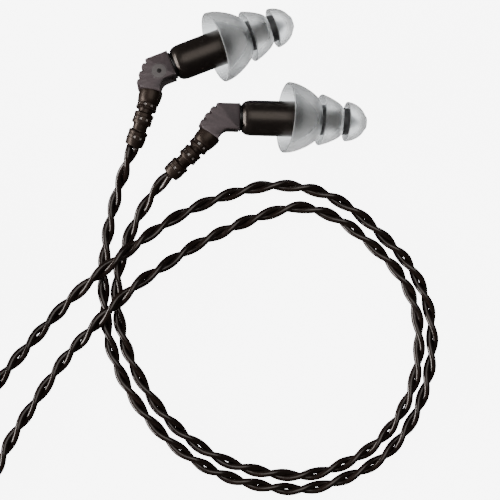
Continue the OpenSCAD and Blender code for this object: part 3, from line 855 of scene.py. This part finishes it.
def boot(m):
    """The strain relief's three rings, as one piece."""
    points, faces, marks = [], [], []
    for k in range(len(BOOT_RINGS)):
        made, quads, slots = boot_ring(k)
        first = len(points)
        points += set_in(boot_frame(m, k), made)
        faces += [tuple(first + q for q in quad) for quad in quads]
        marks += slots
    piece = mesh_object(m["side"] + "_relief", points, faces, [M_BOOT, M_WINDOW_PAINTED_LIGHT], marks, sharp=42)
    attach(piece, "leads")
    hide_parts(m["side"] + "_boot")


# ---- slider, splitter, tie and plug ----
SLIDER_MIDDLE = 9.5
SLIDER_LEN = 7.0
CORD_HOLE_R = 1.42
CORD_HOLE_SIDES = 28


def in_lane(x):
    """The frame at x along the straight stretch, with +X towards the splitter."""
    return Matrix.Translation(lane(x, 0)) @ turn("Z", LANE_TURN)


def stadium(half_w, half_h, n):
    """Points (y, z) of a stadium's outline, anticlockwise seen from +X."""
    points = []
    for side in (1, -1):
        for k in range(n + 1):
            a = math.pi * (k / n - 0.5 * side)
            points.append((side * (half_w - half_h) + half_h * math.cos(a), half_h * math.sin(a)))
    return points


def slider():
    """A flat block that both cords run through, with three shallow grips across its middle."""
    half_w, half_h = 3.7, 2.0
    stations = [(0, 0.35), (0.06, 0.2), (0.2, 0.07), (0.42, 0)]
    for k in range(3):
        x = 2.3 + 1.2 * k
        stations += [(x - 0.35, 0), (x - 0.2, 0.09), (x, 0.13), (x + 0.2, 0.09), (x + 0.35, 0)]
    stations += [(SLIDER_LEN - x, inset) for x, inset in stations[3::-1]]
    loops = [stadium(half_w - inset, half_h - inset, 14) for _, inset in stations]
    size = len(loops[0])
    points = [Vector((x, *q)) for (x, _), loop in zip(stations, loops) for q in loop]
    faces = bands(len(loops), size, flip=True)
    # A hole's rims widen, and the two holes move apart a little there.
    hole = [(0, 0.22), (0.06, 0.1), (0.2, 0)]
    hole += [(SLIDER_LEN - x, more) for x, more in hole[::-1]]
    near, far = [], []
    for side in (-1, 1):
        first = len(points)
        near.append(first)
        far.append(first + (len(hole) - 1) * CORD_HOLE_SIDES)
        for x, more in hole:
            middle = side * LANE_GAP / 2 * (1 + 0.12 * (more > 0.2))
            points += [
                Vector((x, middle + (CORD_HOLE_R + more * 0.4) * math.cos(a),
                        (CORD_HOLE_R + more) * math.sin(a)))
                for a in even_turn(CORD_HOLE_SIDES)
            ]
        faces += bands(len(hole), CORD_HOLE_SIDES, first)
    for at, rims, facing in ((0, near, -1), ((len(loops) - 1) * size, far, 1)):
        rows = [range(at, at + size)] + [range(q, q + CORD_HOLE_SIDES) for q in rims]
        index = [q for row in rows for q in row]
        outline = [[points[q] for q in row] for row in rows]
        for tri in capped(outline, 0, Vector((facing, 0, 0))):
            faces.append(tuple(index[q] for q in tri))
    spot = in_lane(SLIDER_MIDDLE - SLIDER_LEN / 2)
    made = mesh_object("slider_body", set_in(spot, points), faces, M_BLOCK, sharp=50)
    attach(made, "slider")
    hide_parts("cord_slider")


def splitter():
    """A soft block that narrows from the two cords to the main one, with ribs where it bends."""
    stations = [
        (0.0, 2.3, 1.3), (0.04, 2.75, 1.7), (0.2, 3.05, 1.92), (0.5, 3.2, 2.0), (4.6, 3.2, 2.0),
        (5.6, 3.0, 1.98), (6.6, 2.6, 1.95), (7.2, 2.4, 1.92),
    ]
    for k in range(3):
        x = 7.35 + 1.15 * k
        w, h = 2.3 - 0.14 * k, 1.9 - 0.09 * k
        stations += [(x, w, h), (x + 0.12, w - 0.28, h - 0.22), (x + 0.45, w - 0.3, h - 0.24),
                     (x + 0.57, w - 0.03, h - 0.02), (x + 0.95, w - 0.08, h - 0.05)]
    stations += [(10.85, 1.9, 1.62), (10.97, 1.7, 1.5), (11.0, 1.45, 1.4)]
    loops = [stadium(w, min(h, w - 0.02), 16) for _, w, h in stations]
    size = len(loops[0])
    points = [Vector((x, *q)) for (x, _, _), loop in zip(stations, loops) for q in loop]
    faces = bands(len(loops), size, flip=True)
    faces += capped([points[:size]], 0, Vector((-1, 0, 0)))
    faces += capped([points[-size:]], len(points) - size, Vector((1, 0, 0)))
    made = mesh_object("splitter_body", set_in(in_lane(LANE_LEN), points), faces, M_BLOCK, sharp=50)
    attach(made, "leads")
    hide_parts("y_splitter")
    return made


TIE_WIDTH = 5.0
TIE_THICK = 0.3
# The strap's end laps over this share of its own turn, and lies a little into the part below.
TIE_LAP = 0.36
TIE_PRESS = 0.95


def tie():
    """A woven strap round the coil's turns, its end lapped over the top."""
    half_w, low, high, corner = 4.3, 0.1, 7.95, 1.3
    line = []
    for (cy, cz), start in (
        ((half_w - corner, high - corner), 0), ((-half_w + corner, high - corner), 90),
        ((-half_w + corner, low + corner), 180), ((half_w - corner, low + corner), 270),
    ):
        for k in range(9):
            a = math.radians(start + 90 * k / 8)
            line.append((cy + corner * math.cos(a), cz + corner * math.sin(a), 0))
    turns = [(y, z) for y, z, _ in even_steps(np.array(line + line[:1]), 0.5)]
    run = turns[:-1] + [(turns[0][0] + 0.02, turns[0][1])]
    lifted = []
    for k, (y, z) in enumerate(turns[: int(len(turns) * TIE_LAP)]):
        share = min(1.0, k / 4)
        away = Vector((y, z - (low + high) / 2)).normalized() * TIE_THICK * share * TIE_PRESS
        lifted.append((y + away.x, z + away.y))
    strip = run + lifted[1:]
    points, faces = [], []
    across = np.linspace(-TIE_WIDTH / 2, TIE_WIDTH / 2, 9)
    normals = []
    for k in range(len(strip)):
        a, b = strip[max(0, k - 1)], strip[min(len(strip) - 1, k + 1)]
        t = Vector((b[0] - a[0], b[1] - a[1])).normalized()
        normals.append(Vector((t.y, -t.x)))
    for sign in (0, 1):
        for (y, z), normal in zip(strip, normals):
            for w in across:
                swell = TIE_THICK * (1 - 0.25 * (abs(w) / (TIE_WIDTH / 2)) ** 6)
                q = Vector((y, z)) + normal * (swell * sign)
                points.append((q.x, w, q.y))
    rows, n = len(strip), len(across)
    for i in range(rows - 1):
        for k in range(n - 1):
            a = i * n + k
            b = rows * n + a
            faces.append((a, a + n, a + n + 1, a + 1))
            faces.append((b, b + 1, b + n + 1, b + n))
    for i in range(rows - 1):
        for k, flip in ((0, False), (n - 1, True)):
            a = i * n + k
            b = rows * n + a
            side = (a, b, b + n, a + n)
            faces.append(side[::-1] if flip else side)
    for i, flip in ((0, True), (rows - 1, False)):
        for k in range(n - 1):
            a = i * n + k
            b = rows * n + a
            side = (a, b, b + 1, a + 1)
            faces.append(side[::-1] if flip else side)
    spot = Matrix.Translation((COIL_AT[0] + COIL_R, COIL_AT[1], 0))
    made = mesh_object("strap", set_in(spot, points), faces, M_TIE, sharp=50)
    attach(made, "leads")
    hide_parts("coil_tie")
    return made


def plug():
    """The plug's ribbed strain relief and its handle. Its metal is the CAD's own."""
    relief = [(0.0, 0.9), (0.0, 1.55), (0.1, 1.7)]
    for k in range(5):
        x, r = 0.35 + 1.05 * k, 1.72 + 0.16 * k
        relief += [(x, r), (x + 0.08, r - 0.25), (x + 0.33, r - 0.24), (x + 0.41, r + 0.02)]
        relief.append((x + 0.9, r + 0.12))
    relief += [(5.75, 2.55), (6.05, 2.6)]
    handle = [
        (5.95, 2.4), (6.0, 2.95), (6.15, 3.3), (6.5, 3.52), (7.2, 3.58), (9.0, 3.58), (9.12, 3.44),
        (9.4, 3.44), (9.52, 3.58), (17.6, 3.58), (17.7, 3.5), (18.0, 3.5), (18.1, 3.58),
        (20.9, 3.58), (21.3, 3.5), (21.7, 3.3), (21.94, 3.0), (22.0, 2.7), (22.0, 2.3),
        (21.85, 2.2), (21.85, 1.7),
    ]
    spot = Matrix.Translation(PLUG_AT) @ turn("Z", PLUG_TURN)
    made = []
    for name, profile, material, node, slot in (
        ("plug_flex", relief, M_BLOCK, "plug_relief", "relief_rubber"),
        ("plug_barrel", handle, M_HANDLE, "plug_handle", "handle_plastic"),
    ):
        piece = lathe(name, spot, rounded(profile, 0.05, 2), material)
        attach(piece, "leads")
        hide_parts(node)
        made.append(piece)
    return made


for monitor in (LEFT, RIGHT):
    eartip(monitor)
    barrel(monitor)
    nose(monitor)
    collar(monitor)
    elbow(monitor)
    badge(monitor)
    boot(monitor)
slider()
split = splitter()
strap = tie()
plug_pieces = plug()


# ---- CAD nodes that are shown as they are ----
def finish_node(name, material):
    """Gives a CAD node its material."""
    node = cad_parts[name]
    node.data.materials.clear()
    node.data.materials.append(material)
    return node


for side in ("left", "right"):
    finish_node(side + "_filter", M_MESH)
    finish_node(side + "_driver", M_STEEL)
    finish_node(side + "_driver_boot", M_CRADLE)
    finish_node(side + "_contacts", M_GOLD)
    finish_node(side + "_pins", M_GOLD)
plug_pieces += [finish_node(name, M_GOLD) for name in ("plug_sleeve", "plug_ring", "plug_tip")]
plug_pieces.append(finish_node("plug_insulators", M_INSULATOR))


# ---- floor and light ----
# The bright sheet is looked at, also through the tips, and only the dimmer one under it lights the
# set, so that the cords and barrels stay dark on white.
SEEN_GLOW = 7
LIT_GLOW = 0.8
FLOOR_GAP = 0.05
FLOOR_HALF = 3000
WORLD_GREY = 0.5
WORLD_GLOW = 0.12


def floor(name, glow, height):
    """A wide pale sheet that glows evenly, like a lit table."""
    look = Looks(name)
    look.set(Base_Color=look.tint(look.noise(9, 2), (0.90, 0.90, 0.90), (0.91, 0.91, 0.91)))
    look.set(Roughness=0.9, Specular_IOR_Level=0.2)
    look.set(Emission_Color=(1, 1, 1, 1), Emission_Strength=glow)
    points = [
        (CAMERA_AT.x + x * FLOOR_HALF, CAMERA_AT.y + y * FLOOR_HALF, height)
        for x, y in ((-1, -1), (1, -1), (1, 1), (-1, 1))
    ]
    sheet = mesh_object(name, points, [(0, 1, 2, 3)], look.mat, smooth=False)
    sheet.visible_glossy = False
    return sheet


def softbox(name, towards, far, size, watts):
    """A soft light of size mm, far mm from the middle of the view and facing it."""
    data = bpy.data.lights.new(name, "AREA")
    data.shape = "RECTANGLE"
    data.size, data.size_y = size[0] * MM, size[1] * MM
    data.energy = watts
    lamp = bpy.data.objects.new(name, data)
    bpy.context.scene.collection.objects.link(lamp)
    way = Vector(towards).normalized()
    lamp.location = (CAMERA_AT + way * far) * MM
    lamp.rotation_euler = way.to_track_quat("Z", "Y").to_euler()


seen = floor("floor_seen", SEEN_GLOW, 0)
seen.visible_diffuse = False
floor("floor_lit", LIT_GLOW, -FLOOR_GAP)
softbox("key", (0.05, 0.29, 1), 700, (620, 600), 3)
softbox("left_strip", (-1, -0.1, 0.2), 700, (900, 140), 12)
world = bpy.data.worlds.new("surroundings")
world.use_nodes = True
backdrop = world.node_tree.nodes["Background"]
backdrop.inputs[0].default_value = (WORLD_GREY, WORLD_GREY, WORLD_GREY, 1)
backdrop.inputs[1].default_value = WORLD_GLOW
bpy.context.scene.world = world

bpy.context.view_layer.update()
